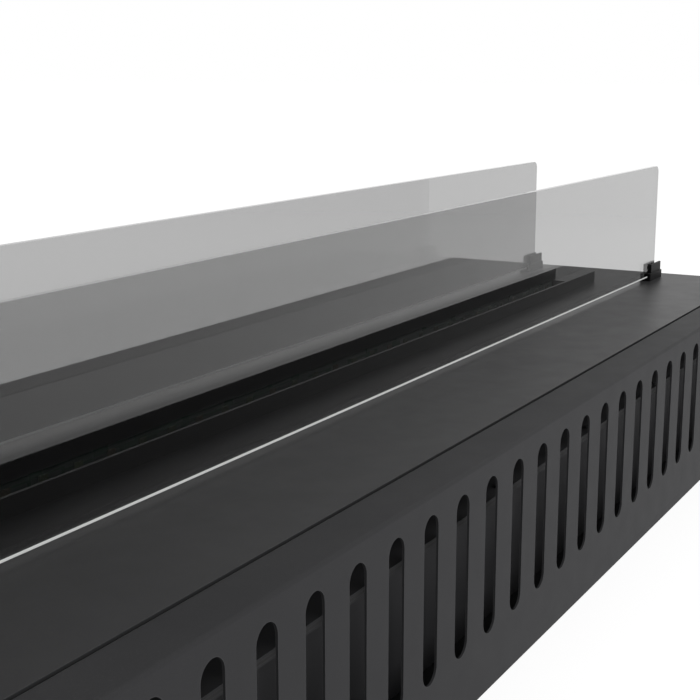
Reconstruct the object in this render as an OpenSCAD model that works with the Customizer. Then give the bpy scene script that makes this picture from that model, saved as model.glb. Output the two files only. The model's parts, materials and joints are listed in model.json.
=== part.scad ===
// Water vapour fireplace insert.
// X runs along the casing, Y from front to rear and Z up.
// The origin is at the middle of the casing's underside.

/* [Casing] */
// Length of the casing
casing_l = 1000; // [900:10:1500]
// Depth of the casing, front to rear
casing_w = 333; // [326:1:380]
// Height of the casing, underside to top face
casing_h = 127; // [124:1:150]
// Thickness of the folded casing sheets
casing_sheet = 1.2; // [1:0.1:1.5]
// Outside radius of the folds
fold_r = 2; // [1.7:0.1:3]
// Width of the fixed rim along each long side
rim_w = 26; // [20:1:28]
// Depth of the turned-down edge inside the rim
hem_h = 14; // [12:1:18]

/* [Ventilation slots] */
// Distance from slot to slot
vent_pitch = 35; // [25:1:45]
// Width of a slot
vent_w = 15; // [8:1:18]
// Height of a slot
vent_l = 85; // [50:1:95]
// Top of the slots below the casing's top face
vent_drop = 10; // [8:1:14]
// Least distance from the last slot to the casing's end
vent_margin = 50; // [40:1:90]

/* [Top plate] */
// Thickness of the top plate
plate_sheet = 2; // [1.5:0.1:3]
// Gap between the plate and each rim
seam_gap = 1; // [0.6:0.1:2.5]
// Length of the rail leg that sits on the turned-down edge
rail_h = 10; // [8:1:11]
// Width of the ledge under the plate's long edges
rail_w = 12; // [8:1:16]
// Thickness of the rails
rail_sheet = 1.2; // [1:0.1:1.5]

/* [Mist slot] */
// Width of the slot in the top plate
mist_w = 36; // [30:1:40]
// Distance from the slot's end to the casing's end
mist_margin = 95; // [95:1:130]
// Height of the lips beside the slot
lip_h = 10; // [6:1:16]
// Thickness of the lips
lip_sheet = 2; // [1:0.1:3]
// Length by which each lip passes the slot's end
lip_overhang = 10.5; // [0:0.5:12]

/* [Glass screens] */
// Height of a pane
glass_h = 102; // [80:1:200]
// Thickness of a pane
glass_t = 4; // [3:0.5:6]
// Distance between the middles of the two panes
glass_spacing = 120; // [100:1:160]
// Distance from a pane's end to the casing's end
glass_margin = 37; // [36:1:60]
// Radius of a pane's corners
glass_corner_r = 6; // [2:0.5:10]

/* [Glass clips] */
// Length of a clip
clip_l = 30; // [24:0.5:36]
// Height of a clip
clip_h = 15; // [12:1:30]
// Height of the wider foot of a clip
clip_foot_h = 7; // [4:0.5:9]
// Thickness of a clip's side walls
clip_wall = 1.8; // [1.4:0.1:3]
// Thickness of a clip's floor, under the glass
clip_floor = 3.2; // [3:0.1:6]
// Length of glass that a clip holds
clip_grip = 16; // [10:0.1:18]

/* [Water tank] */
// Gap between the tank's rim flange and each long panel
tank_side_gap = 25; // [23:1:40]
// Depth of the tank cover's top below the casing's top face
cover_drop = 44; // [42:1:50]
// Thickness of the tank's sheet
tank_sheet = 1.2; // [0.8:0.1:1.5]
// Width of the tank's rim flange
tank_flange = 8; // [7:0.5:8]
// Radius of the tank's upright corners
tank_corner_r = 12; // [9:1:20]
// Length by which the tank passes each end of the slot
tank_overrun = 7; // [5:0.5:8]
// Thickness of the tank cover
cover_sheet = 1.5; // [1:0.1:2]
// Thickness of the seal under the cover
seal_t = 1.5; // [1:0.1:3]

/* [Mist duct] */
// Thickness of the duct's sheet
duct_sheet = 1.2; // [0.8:0.1:1.5]
// Width of the duct's foot
duct_foot = 9; // [7:0.5:9]

/* [Ultrasonic units] */
// Distance between neighbouring units
unit_pitch = 100; // [60:5:150]
// Diameter of a unit's cup
unit_d = 36; // [30:1:44]
// Height of a unit's cup
unit_h = 16; // [12:1:22]
// Diameter of the vibrating disc
disc_d = 20; // [14:1:22]

/* [Level sensor] */
// Space between the float's upper stop and the tank cover
float_top_gap = 18.8; // [10:0.1:30]
// Diameter of the float
float_d = 24; // [18:1:28]
// Height of the float
float_h = 18; // [10:1:20]
// Diameter of the stem
stem_d = 6; // [5:0.5:8]

/* [Fans] */
// Side of the square fan frame
fan_size = 60; // [50:1:64]
// Thickness of a fan
fan_h = 15; // [12:1:20]
// Distance between the two fans of one side
fan_spread = 460; // [300:10:600]
// Number of blades
fan_blades = 7; // [5:1:9]

/* [Light strips] */
// Height of a circuit strip
strip_w = 10; // [6:0.1:12]
// Distance between lamps
lamp_pitch = 26; // [15:1:60]

/* [Water inlet] */
// Outside diameter of the supply tube that pushes in
supply_tube_d = 6.35; // [6:0.05:10]
// Depth of the inlet's middle below the casing's top face
inlet_drop = 63; // [61:1:65]

/* [Hidden] */
$fn = 48;

// Overrun of every cut past the face it opens
overrun = 1;
// Gap between pieces that only pass each other
pass_gap = 0.3;
// Radial clearance of a shaft in its hole
shaft_gap = 0.05;
// Radial clearance of a screw in its hole
screw_gap = 0.15;

// Places that follow from the casing
half_l = casing_l / 2;
half_w = casing_w / 2;
inner_x = half_l - casing_sheet;
inner_y = half_w - casing_sheet;
rim_y = half_w - rim_w;
plate_z = casing_h - plate_sheet;
plate_half_w = rim_y - seam_gap;
end_flange = 15;

// Ventilation slots, in pairs outward from the middle
vent_pairs = floor((half_l - vent_margin - (vent_w + vent_pitch) / 2) / vent_pitch) + 1;
vent_z = casing_h - vent_drop - vent_l;

// Base tray
tray_h = 12;
tray_sheet = casing_sheet;
fix_hole_r = 2.75;
fix_end_gap = 45;
fix_side_gap = 16.5;
fix_x = half_l - fix_end_gap;
fix_y = half_w - fix_side_gap;
bracket_w = 15;
bracket_sheet = 1.5;
bracket_top_gap = 30;

// Mist slot and lips
mist_half_l = half_l - mist_margin;
mist_half_w = mist_w / 2;
lip_half_l = mist_half_l + lip_overhang;

// Glass and clips
glass_half_l = half_l - glass_margin;
glass_y = glass_spacing / 2;
clip_gap = 0.2;
clip_d = glass_t + 2 * (clip_gap + clip_wall);
clip_inner_x = glass_half_l - clip_grip;
clip_foot_rim = 1;
clip_foot_toe = 5;
clip_corner_r = 0.8;
clip_screw_r = 1.5;
clip_screw_depth = 2.2;
clip_screw_inset = 6;
clip_head_r = 3;
clip_head_h = 2;
clip_screw_x = [clip_inner_x + clip_screw_inset, clip_inner_x + clip_l - clip_screw_inset];

// Tank, seal, cover and duct
pad_r = 10;
pad_h = 4;
pad_x_inset = 52;
pad_y_inset = 32;
tank_z = tray_sheet + pad_h;
tank_floor_z = tank_z + tank_sheet;
cover_top = casing_h - cover_drop;
cover_z = cover_top - cover_sheet;
tank_top = cover_z - seal_t;
tank_h = tank_top - tank_z;
tank_half_l = mist_half_l + tank_overrun;
tank_half_w = inner_y - tank_side_gap - tank_flange;
cover_half_l = tank_half_l + tank_flange;
cover_half_w = tank_half_w + tank_flange;
cover_screw_r = 1.5;
cover_head_r = 2.8;
cover_head_h = 1.8;
cover_screw_inset = tank_flange / 2;
cover_screw_pitch = 150;
cover_screw_pairs = floor((tank_half_l - tank_corner_r) / cover_screw_pitch + 1 / 2);
cover_screw_tail = 3;
lamp_t = 0.8;
strip_t = 0.5;
bar_t = 2;
bar_h = 12;
strip_half_l = mist_half_l - pass_gap;
strip_back_y = mist_half_w - pass_gap;
strip_face_y = strip_back_y - strip_t;
bar_back_y = strip_back_y + bar_t;
duct_half_w = bar_back_y + duct_sheet;
duct_in_l = mist_half_l + duct_sheet;
duct_half_l = duct_in_l + duct_sheet;
duct_top = plate_z - pass_gap;
lamp_l = 6;
lamp_h = 5;
lamp_pairs = floor((strip_half_l - lamp_l) / lamp_pitch);

// Ultrasonic units on their rail
rail_strip_w = 50;
rail_strip_t = 1.5;
rail_strip_end = 30;
unit_pairs = floor((tank_half_l - rail_strip_end - unit_d / 2) / unit_pitch + 1 / 2);
unit_z = tank_floor_z + rail_strip_t;
cup_recess = 3;
cup_lip = 2;
disc_t = 1.2;
cup_well_r = disc_d / 2 - cup_lip;

// Level sensor
float_end_gap = 37;
float_side_gap = 52;
float_y = tank_half_w - float_side_gap;
float_x = tank_half_l - float_end_gap;
stem_r = stem_d / 2;
stem_foot_gap = 4;
stem_z = tank_floor_z + stem_foot_gap;
stop_t = 2;
stop_r = stem_r + stop_t;
float_rest_z = stem_z + stop_t;
float_top_z = cover_z - float_top_gap - stop_t;
float_bore_gap = 0.5;
stem_nut_r = 9;
stem_nut_h = 5;

// Fans
fan_x = fan_spread / 2;
fan_y = (duct_half_w + duct_foot + cover_half_w) / 2;
fan_wall = 2;
fan_bore_r = fan_size / 2 - fan_wall;
fan_corner_r = 5;
fan_hub_r = 13;
fan_boss_h = 4;
fan_floor = 1;
fan_strut_w = 3;
fan_run_gap = 0.6;
fan_tip_gap = 1;
fan_top_gap = 1;
fan_blade_t = 1.2;
fan_blade_angle = 42;
fan_blade_curve_r = 16;
fan_blade_edge = 0.4;
fan_root_share = 0.5;
fan_shaft_r = 1.5;
fan_hole_inset = 5;
fan_hole_r = 2.15;
fan_screw_r = 2;
fan_head_r = 3.5;
fan_head_h = 2.4;
fan_tail = 4;
fan_places = [[-fan_x, -fan_y], [fan_x, -fan_y], [-fan_x, fan_y], [fan_x, fan_y]];
// Angle at which each rotor happens to stand
fan_turns = [0, 30, 45, 68];

// Water inlet and valve, along X at the left end
inlet_y = -60;
inlet_z = casing_h - inlet_drop;
collar_r = 9;
collar_l = 12;
socket_l = 14;
tube_gap = 0.03;
socket_r = supply_tube_d / 2 + tube_gap;
neck_r = 6;
neck_l = 14;
neck_bore_r = 3;
inlet_nut_r = 10;
inlet_nut_t = 4;
valve_r = 11;
valve_l = 48;
valve_spout_r = 5;
valve_spout_tail = 4;
coil_w = 28;
coil_h = 32;
coil_seat = 2;
coil_pin_r = 5;
coil_pin_h = 3;
valve_foot_w = 24;
valve_foot_l = 20;
valve_bracket_t = 1.5;

// Drain at the left end
drain_y = 60;
drain_z = 23;
drain_r = 7;
drain_wall = 1.5;
drain_out = 9;
drain_tail = 4;
cap_r = 11;
cap_l = 11;
cap_end = 2.5;
drain_collar_r = 10;
drain_collar_t = 2;

// Mains inlet and switch at the right end
plug_y = -45;
plug_drop = 43;
plug_z = casing_h - plug_drop;
plug_flange_w = 50;
plug_flange_h = 27;
plug_flange_t = 2.5;
plug_flange_r = 6;
plug_body_w = 28;
plug_body_h = 21;
plug_body_l = 22;
plug_hole_w = 24.4;
plug_hole_h = 17;
plug_hole_l = 16.6;
plug_chamfer = 4;
pin_w = 2;
pin_h = 4;
pin_l = 13;
pin_pitch = 7;
pin_drop = 2;
pin_tail = 6;
plug_screw_spread = 40;
plug_screw_r = 1.6;
switch_y = 10;
switch_w = 15;
switch_h = 21;
switch_flange_t = 2;
switch_body_w = 12.8;
switch_body_h = 18.8;
switch_body_l = 16;
switch_hole_w = 9.4;
switch_hole_h = 17.2;
switch_hole_l = 9;
rocker_tip = 7.4;
rocker_rise = 3.4;
rocker_valley = 1.8;
rocker_root = 1.5;
rocker_hub_r = 4;
rocker_sink = 2;
rocker_tilt = 10;
rocker_pin_r = 1;
rocker_pin_l = 1.2;
cutout_gap = 0.2;

// Power supply and control board in the right end bay
supply_w = 72;
supply_h = 36;
supply_end_gap = 6;
supply_front_gap = 30;
supply_wall = 1;
supply_vent_l = 30;
supply_vent_w = 2.5;
supply_vent_pitch = 8;
supply_vents = 8;
terminal_l = 56;
terminal_w = 9;
terminal_h = 12;
terminal_slots = 6;
terminal_wall = 1;
board_w = 62;
board_l = 84;
board_t = 1.6;
board_front_gap = 8;
board_rear_gap = 28;
standoff_h = 8;
standoff_r = 3;
standoff_inset = 5;
supply_x = inner_x - supply_end_gap - supply_w;
supply_y = -inner_y + supply_front_gap;
supply_l = 2 * inner_y - supply_front_gap - board_front_gap - board_l - board_rear_gap;
board_x = inner_x - supply_end_gap - board_w;
board_y = supply_y + supply_l + board_front_gap;
board_z = tray_sheet + standoff_h;

// A block between two opposite corners
module block(low, high) {
  translate(low) cube(high - low);
}

// Its children at both ends of the casing
module both_ends() {
  children();
  mirror([1, 0, 0]) children();
}

// Its children at the front and at the rear
module both_sides() {
  children();
  mirror([0, 1, 0]) children();
}

// A flat outline with rounded corners, about its middle
module rounded_outline(l, w, r) {
  square([l - 2 * r, w], center = true);
  square([l, w - 2 * r], center = true);
  for (x = [-1, 1], y = [-1, 1])
    translate([x * (l / 2 - r), y * (w / 2 - r)]) circle(r);
}

// A ring of rounded outline, about its middle
module rounded_ring(l, w, r, wall, h) {
  linear_extrude(h) difference() {
    rounded_outline(l, w, r);
    rounded_outline(l - 2 * wall, w - 2 * wall, max(r - wall, wall));
  }
}

// A quarter of a folded corner, in the upper right quadrant
module fold_corner() {
  intersection() {
    difference() {
      circle(fold_r);
      circle(fold_r - casing_sheet);
    }
    square(fold_r);
  }
}

// Section of a long panel: face, fold, rim, fold and turned-down edge
module panel_profile() {
  square([casing_sheet, casing_h - fold_r]);
  translate([fold_r, casing_h - fold_r]) mirror([1, 0]) fold_corner();
  translate([fold_r, casing_h - casing_sheet]) square([rim_w - 2 * fold_r, casing_sheet]);
  translate([rim_w - fold_r, casing_h - fold_r]) fold_corner();
  translate([rim_w - casing_sheet, casing_h - hem_h]) square([casing_sheet, hem_h - fold_r]);
}

// One upright slot with round ends, as a cutter through the front face
module vent_cutter() {
  translate([0, casing_sheet + overrun, 0]) rotate([90, 0, 0])
    linear_extrude(casing_sheet + 2 * overrun) {
      translate([0, vent_w / 2]) circle(vent_w / 2);
      translate([0, vent_l - vent_w / 2]) circle(vent_w / 2);
      translate([-vent_w / 2, vent_w / 2]) square([vent_w, vent_l - vent_w]);
    }
}

module long_panel() {
  hem_y = -rim_y - casing_sheet;
  difference() {
    translate([-half_l, -half_w, 0]) rotate([90, 0, 90])
      linear_extrude(casing_l) panel_profile();
    for (i = [0 : vent_pairs - 1], side = [-1, 1])
      translate([side * (i + 1 / 2) * vent_pitch, -half_w, vent_z]) vent_cutter();
    both_ends()
      block([inner_x, hem_y - overrun, casing_h - hem_h - overrun],
            [half_l + overrun, hem_y + casing_sheet + overrun, casing_h - fold_r]);
  }
}

module front_panel() {
  color("#262628") long_panel();
}

module rear_panel() {
  color("#262628") mirror([0, 1, 0]) long_panel();
}

// Section of an end panel: face, fold and the flange under the plate
module end_profile() {
  square([casing_sheet, plate_z - fold_r]);
  translate([fold_r, plate_z - fold_r]) mirror([1, 0]) fold_corner();
  translate([fold_r, plate_z - casing_sheet]) square([end_flange - fold_r, casing_sheet]);
}

// End panel at the right: its middle is folded, its corners reach up under the rims
module end_panel() {
  corner_y = rim_y + fold_r;
  translate([half_l, plate_half_w, 0]) mirror([0, 1, 0]) mirror([1, 0, 0]) rotate([90, 0, 0])
    mirror([0, 0, 1]) linear_extrude(2 * plate_half_w) end_profile();
  block([inner_x, -inner_y, 0], [half_l, inner_y, plate_z - fold_r]);
  both_sides()
    block([inner_x, corner_y, plate_z - fold_r],
          [half_l, half_w - fold_r, casing_h - casing_sheet]);
}

module left_end_panel() {
  color("#262628") difference() {
    mirror([1, 0, 0]) end_panel();
    translate([-half_l - overrun, inlet_y, inlet_z]) rotate([0, 90, 0])
      cylinder(r = neck_r + screw_gap, h = casing_sheet + 2 * overrun);
    translate([-half_l - overrun, drain_y, drain_z]) rotate([0, 90, 0])
      cylinder(r = drain_r + screw_gap, h = casing_sheet + 2 * overrun);
  }
}

module right_end_panel() {
  plug_cut = [plug_body_w / 2 + cutout_gap, plug_body_h / 2 + cutout_gap];
  switch_cut = [switch_body_w / 2 + cutout_gap, switch_body_h / 2 + cutout_gap];
  color("#262628") difference() {
    end_panel();
    block([inner_x - overrun, plug_y - plug_cut[0], plug_z - plug_cut[1]],
          [half_l + overrun, plug_y + plug_cut[0], plug_z + plug_cut[1]]);
    block([inner_x - overrun, switch_y - switch_cut[0], plug_z - switch_cut[1]],
          [half_l + overrun, switch_y + switch_cut[0], plug_z + switch_cut[1]]);
    for (side = [-1, 1])
      translate([inner_x - overrun, plug_y + side * plug_screw_spread / 2, plug_z])
        rotate([0, 90, 0]) cylinder(r = plug_screw_r, h = casing_sheet + 2 * overrun);
  }
}

module base_tray() {
  color("#3a3a3c") difference() {
    block([-inner_x, -inner_y, 0], [inner_x, inner_y, tray_h]);
    block([-inner_x + tray_sheet, -inner_y + tray_sheet, tray_sheet],
          [inner_x - tray_sheet, inner_y - tray_sheet, tray_h + overrun]);
    for (x = [-fix_x, fix_x], y = [-fix_y, fix_y])
      translate([x, y, -overrun]) cylinder(r = fix_hole_r, h = tray_sheet + 2 * overrun);
  }
}

module corner_brackets() {
  top = casing_h - bracket_top_gap;
  low = [inner_x - bracket_w, inner_y - bracket_w, tray_h];
  color("#4a4a4c") both_sides() both_ends() difference() {
    block(low, [inner_x, inner_y, top]);
    block(low - [overrun, overrun, overrun],
          [inner_x - bracket_sheet, inner_y - bracket_sheet, top + overrun]);
  }
}

// Angle welded to the turned-down edge, with its ledge under the plate
module plate_rail() {
  rail_half_l = inner_x - end_flange - overrun;
  block([-rail_half_l, -rim_y, plate_z - rail_h], [rail_half_l, -rim_y + rail_sheet, plate_z]);
  block([-rail_half_l, -rim_y, plate_z - rail_sheet], [rail_half_l, -rim_y + rail_w, plate_z]);
}

module plate_rail_front() {
  color("#3a3a3c") plate_rail();
}

module plate_rail_rear() {
  color("#3a3a3c") mirror([0, 1, 0]) plate_rail();
}

module top_plate() {
  color("#303032") difference() {
    block([-half_l, -plate_half_w, plate_z], [half_l, plate_half_w, casing_h]);
    block([-mist_half_l, -mist_half_w, plate_z - overrun],
          [mist_half_l, mist_half_w, casing_h + overrun]);
    both_sides() both_ends() for (x = clip_screw_x)
      translate([x, glass_y, plate_z - overrun])
        cylinder(r = clip_screw_r + screw_gap, h = plate_sheet + 2 * overrun);
  }
}

module lip() {
  block([-lip_half_l, -mist_half_w - lip_sheet, casing_h],
        [lip_half_l, -mist_half_w, casing_h + lip_h]);
}

module front_lip() {
  color("#1c1c1e") lip();
}

module rear_lip() {
  color("#1c1c1e") mirror([0, 1, 0]) lip();
}

// Clip at the rear right: a channel for the glass on a foot with a long toe at its inner end
module glass_clip() {
  slot_half_w = glass_t / 2 + clip_gap;
  foot_l = clip_foot_toe + clip_l + clip_foot_rim;
  foot_x = clip_inner_x - clip_foot_toe + foot_l / 2;
  difference() {
    union() {
      translate([clip_inner_x + clip_l / 2, glass_y, casing_h])
        linear_extrude(clip_h) rounded_outline(clip_l, clip_d, clip_corner_r);
      translate([foot_x, glass_y, casing_h])
        linear_extrude(clip_foot_h) rounded_outline(foot_l, clip_d + 2 * clip_foot_rim, clip_corner_r);
    }
    block([foot_x - foot_l, glass_y - slot_half_w, casing_h + clip_floor],
          [foot_x + foot_l, glass_y + slot_half_w, casing_h + clip_h + overrun]);
    for (x = clip_screw_x)
      translate([x, glass_y, casing_h - overrun])
        cylinder(r = clip_screw_r + shaft_gap, h = overrun + clip_screw_depth + pass_gap);
  }
}

module clip_rear_right() {
  color("#141416") glass_clip();
}

module clip_rear_left() {
  color("#141416") mirror([1, 0, 0]) glass_clip();
}

module clip_front_right() {
  color("#141416") mirror([0, 1, 0]) glass_clip();
}

module clip_front_left() {
  color("#141416") mirror([1, 0, 0]) mirror([0, 1, 0]) glass_clip();
}

module clip_screws() {
  color("silver") both_sides() both_ends() for (x = clip_screw_x) {
    translate([x, glass_y, plate_z - clip_head_h]) cylinder(r = clip_head_r, h = clip_head_h);
    translate([x, glass_y, plate_z - clip_head_h])
      cylinder(r = clip_screw_r, h = clip_head_h + plate_sheet + clip_screw_depth);
  }
}

module glass_pane() {
  translate([0, glass_t / 2 - glass_y, casing_h + clip_floor + glass_h / 2]) rotate([90, 0, 0])
    linear_extrude(glass_t) rounded_outline(2 * glass_half_l, glass_h, glass_corner_r);
}

module glass_front() {
  color([0.8, 0.9, 0.9, 0.35]) glass_pane();
}

module glass_rear() {
  color([0.8, 0.9, 0.9, 0.35]) mirror([0, 1, 0]) glass_pane();
}

module cover_screw_places() {
  for (i = [0 : cover_screw_pairs - 1], side = [-1, 1], y = [-1, 1])
    translate([side * (i + 1 / 2) * cover_screw_pitch, y * (cover_half_w - cover_screw_inset), 0])
      children();
}

module water_tank() {
  color("#242426") difference() {
    union() {
      translate([0, 0, tank_z])
        linear_extrude(tank_h) rounded_outline(2 * tank_half_l, 2 * tank_half_w, tank_corner_r);
      translate([0, 0, tank_top - tank_sheet])
        linear_extrude(tank_sheet) rounded_outline(2 * cover_half_l, 2 * cover_half_w, tank_corner_r);
    }
    translate([0, 0, tank_floor_z]) linear_extrude(tank_h)
      rounded_outline(2 * (tank_half_l - tank_sheet), 2 * (tank_half_w - tank_sheet),
                      tank_corner_r - tank_sheet);
    translate([-tank_half_l - overrun, inlet_y, inlet_z]) rotate([0, 90, 0])
      cylinder(r = valve_spout_r + shaft_gap, h = tank_sheet + 2 * overrun);
    translate([-tank_half_l - overrun, drain_y, drain_z]) rotate([0, 90, 0])
      cylinder(r = drain_r + shaft_gap, h = tank_sheet + 2 * overrun);
    cover_screw_places() translate([0, 0, tank_top - tank_sheet - overrun])
      cylinder(r = cover_screw_r + shaft_gap, h = tank_sheet + 2 * overrun);
  }
}

module tank_pads() {
  color("#202020")
    for (x = [-1, 0, 1], y = [-1, 1])
      translate([x * (tank_half_l - pad_x_inset), y * (tank_half_w - pad_y_inset), tray_sheet])
        cylinder(r = pad_r, h = pad_h);
}

module tank_seal() {
  color("#1a1a1a") difference() {
    translate([0, 0, tank_top])
      rounded_ring(2 * cover_half_l, 2 * cover_half_w, tank_corner_r, tank_flange, seal_t);
    cover_screw_places() translate([0, 0, tank_top - overrun])
      cylinder(r = cover_screw_r + screw_gap, h = seal_t + 2 * overrun);
  }
}

module fan_screw_places() {
  reach = fan_size / 2 - fan_hole_inset;
  for (place = fan_places, x = [-reach, reach], y = [-reach, reach])
    translate([place[0] + x, place[1] + y, 0]) children();
}

module tank_cover() {
  color("#242426") difference() {
    translate([0, 0, cover_z])
      linear_extrude(cover_sheet) rounded_outline(2 * cover_half_l, 2 * cover_half_w, tank_corner_r);
    block([-duct_in_l, -bar_back_y, cover_z - overrun], [duct_in_l, bar_back_y, cover_top + overrun]);
    for (place = fan_places)
      translate([place[0], place[1], cover_z - overrun])
        cylinder(r = fan_bore_r, h = cover_sheet + 2 * overrun);
    fan_screw_places() translate([0, 0, cover_z - overrun])
      cylinder(r = fan_screw_r + screw_gap, h = cover_sheet + 2 * overrun);
    cover_screw_places() translate([0, 0, cover_z - overrun])
      cylinder(r = cover_screw_r + screw_gap, h = cover_sheet + 2 * overrun);
    translate([float_x, float_y, cover_z - overrun])
      cylinder(r = stem_r + screw_gap, h = cover_sheet + 2 * overrun);
  }
}

module cover_screws() {
  tail_z = tank_top - tank_sheet - cover_screw_tail;
  color("silver") cover_screw_places() {
    translate([0, 0, cover_top]) cylinder(r = cover_head_r, h = cover_head_h);
    translate([0, 0, tail_z]) cylinder(r = cover_screw_r, h = cover_top - tail_z + cover_head_h);
  }
}

module mist_duct() {
  foot_l = duct_half_l + duct_foot;
  foot_w = duct_half_w + duct_foot;
  color("#2a2a2c") difference() {
    union() {
      block([-duct_half_l, -duct_half_w, cover_top], [duct_half_l, duct_half_w, duct_top]);
      block([-foot_l, -foot_w, cover_top], [foot_l, foot_w, cover_top + duct_sheet]);
    }
    block([-duct_in_l, -bar_back_y, cover_top - overrun], [duct_in_l, bar_back_y, duct_top + overrun]);
  }
}

module led_bar() {
  block([-mist_half_l, strip_back_y, duct_top - bar_h], [mist_half_l, bar_back_y, duct_top]);
}

module led_bar_front() {
  color("#a8abae") mirror([0, 1, 0]) led_bar();
}

module led_bar_rear() {
  color("#a8abae") led_bar();
}

module led_strip() {
  block([-strip_half_l, strip_face_y, casing_h - strip_w], [strip_half_l, strip_back_y, casing_h]);
}

module led_strip_front() {
  color("#123026") mirror([0, 1, 0]) led_strip();
}

module led_strip_rear() {
  color("#123026") led_strip();
}

// Every third lamp of both strips, counted outward from the middle one
module lamps(first) {
  both_sides() both_ends() for (i = [first : 3 : lamp_pairs]) lamp(i * lamp_pitch);
}

module lamp(x) {
  translate([x, strip_face_y - lamp_t / 2, casing_h - strip_w / 2])
    cube([lamp_l, lamp_t, lamp_h], center = true);
}

module leds_amber() {
  color("#8a6a2a") {
    lamps(3);
    both_sides() lamp(0);
  }
}

module leds_green() {
  color("#2a7a5a") {
    lamps(1);
    lamps(2);
  }
}

module unit_places() {
  for (i = [0 : unit_pairs - 1], side = [-1, 1])
    translate([side * (i + 1 / 2) * unit_pitch, 0, 0]) children();
}

module transducer_rail() {
  rail_l = tank_half_l - rail_strip_end;
  color("#c0c4c8")
    block([-rail_l, -rail_strip_w / 2, tank_floor_z], [rail_l, rail_strip_w / 2, unit_z]);
}

module transducer_cups() {
  color("#3c3f42") unit_places() translate([0, 0, unit_z]) difference() {
    cylinder(d = unit_d, h = unit_h);
    translate([0, 0, unit_h - cup_recess]) cylinder(d = disc_d, h = cup_recess + overrun);
    translate([0, 0, unit_h - 2 * cup_recess]) cylinder(r = cup_well_r, h = 2 * cup_recess);
  }
}

module piezo_discs() {
  color("#c8a860") unit_places() translate([0, 0, unit_z + unit_h - cup_recess])
    cylinder(r = disc_d / 2 - shaft_gap, h = disc_t);
}

module float_stem() {
  color("#d8d8d4") translate([float_x, float_y, 0]) {
    translate([0, 0, stem_z]) cylinder(r = stem_r, h = cover_top + stem_nut_h - stem_z);
    for (z = [stem_z, float_top_z])
      translate([0, 0, z]) cylinder(r = stop_r, h = stop_t);
    translate([0, 0, cover_top]) cylinder(r = stem_nut_r, h = stem_nut_h, $fn = 6);
  }
}

module float() {
  color("#e8e4d8") translate([float_x, float_y, float_rest_z]) difference() {
    cylinder(d = float_d, h = float_h);
    translate([0, 0, -overrun]) cylinder(r = stem_r + float_bore_gap, h = float_h + 2 * overrun);
  }
}

// Square frame with a round throat, four struts and the motor mount
module fan_frame() {
  difference() {
    union() {
      difference() {
        linear_extrude(fan_h) rounded_outline(fan_size, fan_size, fan_corner_r);
        translate([0, 0, -overrun]) cylinder(r = fan_bore_r, h = fan_h + 2 * overrun);
      }
      cylinder(r = fan_hub_r, h = fan_boss_h);
      for (i = [0 : 3])
        rotate((i + 1 / 2) * 90)
          block([0, -fan_strut_w / 2, 0], [fan_bore_r + fan_wall, fan_strut_w / 2, fan_boss_h]);
    }
    translate([0, 0, fan_floor]) cylinder(r = fan_shaft_r + shaft_gap, h = fan_boss_h);
    for (x = [-1, 1], y = [-1, 1])
      translate([x * (fan_size / 2 - fan_hole_inset), y * (fan_size / 2 - fan_hole_inset), -overrun])
        cylinder(r = fan_hole_r, h = fan_h + 2 * overrun);
  }
}

// One cambered blade: an arc of sheet, drawn out from the hub and trimmed to the fan's throat
module fan_blade(low, high) {
  tip_r = fan_bore_r - fan_tip_gap;
  rise = (high - low) / 2 - fan_blade_edge;
  intersection() {
    cylinder(r = tip_r, h = high);
    translate([fan_hub_r * fan_root_share, 0, (low + high) / 2])
      rotate([90, 0, 90]) linear_extrude(tip_r)
        intersection() {
          square([2 * rise / tan(fan_blade_angle), 2 * rise], center = true);
          translate([-fan_blade_curve_r * sin(fan_blade_angle), fan_blade_curve_r * cos(fan_blade_angle)])
            difference() {
              circle(r = fan_blade_curve_r + fan_blade_t / 2);
              circle(r = fan_blade_curve_r - fan_blade_t / 2);
            }
        }
  }
}

module fan_rotor() {
  hub_z = fan_boss_h + fan_run_gap;
  hub_top = fan_h - fan_top_gap;
  translate([0, 0, hub_z]) cylinder(r = fan_hub_r, h = hub_top - hub_z);
  translate([0, 0, fan_floor + pass_gap]) cylinder(r = fan_shaft_r, h = hub_z - fan_floor);
  for (i = [0 : fan_blades - 1])
    rotate(i * 360 / fan_blades) fan_blade(hub_z, hub_top);
}

module place_fan(i) {
  translate([fan_places[i][0], fan_places[i][1], cover_top]) children();
}

module fan_frame_1() {
  color("#1e1e20") place_fan(0) fan_frame();
}

module fan_frame_2() {
  color("#1e1e20") place_fan(1) fan_frame();
}

module fan_frame_3() {
  color("#1e1e20") place_fan(2) fan_frame();
}

module fan_frame_4() {
  color("#1e1e20") place_fan(3) fan_frame();
}

module fan_rotor_1() {
  color("#2c2c30") place_fan(0) rotate(fan_turns[0]) fan_rotor();
}

module fan_rotor_2() {
  color("#2c2c30") place_fan(1) rotate(fan_turns[1]) fan_rotor();
}

module fan_rotor_3() {
  color("#2c2c30") place_fan(2) rotate(fan_turns[2]) fan_rotor();
}

module fan_rotor_4() {
  color("#2c2c30") place_fan(3) rotate(fan_turns[3]) fan_rotor();
}

module fan_screws() {
  color("silver") fan_screw_places() {
    translate([0, 0, cover_top + fan_h]) cylinder(r = fan_head_r, h = fan_head_h);
    translate([0, 0, cover_z - fan_tail])
      cylinder(r = fan_screw_r, h = fan_tail + cover_sheet + fan_h + fan_head_h);
  }
}

// A cylinder along X from one place to another, on the inlet's axis
module inlet_rod(x, length, r) {
  translate([x, inlet_y, inlet_z]) rotate([0, 90, 0]) cylinder(r = r, h = length);
}

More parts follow.
